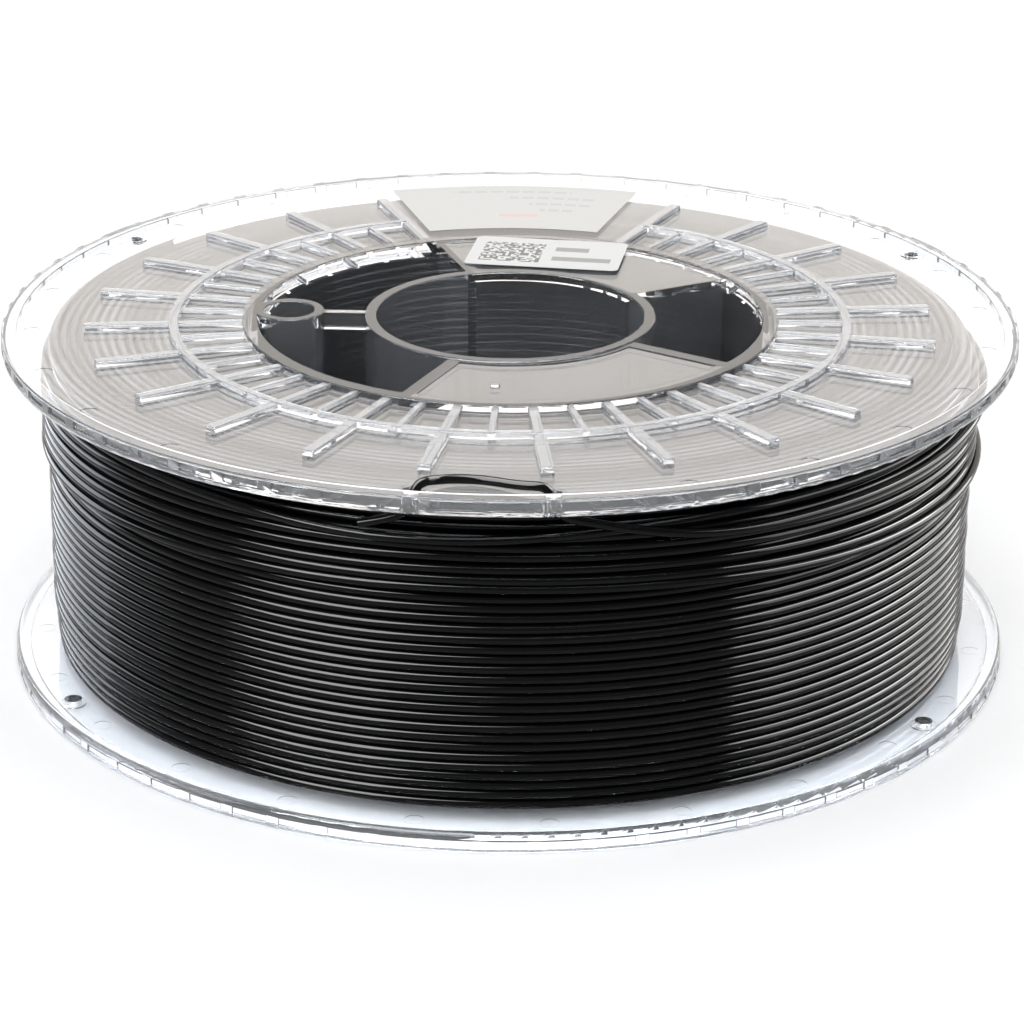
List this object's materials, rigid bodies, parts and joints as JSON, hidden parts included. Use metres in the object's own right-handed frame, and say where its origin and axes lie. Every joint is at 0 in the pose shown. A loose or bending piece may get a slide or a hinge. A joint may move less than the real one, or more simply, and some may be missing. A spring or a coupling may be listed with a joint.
{
  "type": "filament spool",
  "caption": "Clear plastic spool of two clipped mouldings, wound full of glossy black 3D printer filament, with the free end threaded through holes in the flange rim.",
  "frame": {"origin": "centre of the spool's lower outer plane, on the axis of the spindle bore, with the spool lying flat", "axes": "+Z along the spindle bore towards the labelled flange; +X from the axis towards the narrow window, opposite the drive tube; -Y towards the rim holes that hold the filament's free end"},
  "size_m": [0.2, 0.2, 0.0692],
  "materials": {
    "clear_plastic": "clear, polished, very slightly cool",
    "filament": "glossy black, drawn strand",
    "label": "satin coated label"
  },
  "bodies": {
    "root": {"upper_moulding": "clear_plastic", "lower_moulding": "clear_plastic", "filament_winding": "filament", "filament_tail": "filament", "flange_label": "label", "web_label": "label"}
  },
  "joints": []
}
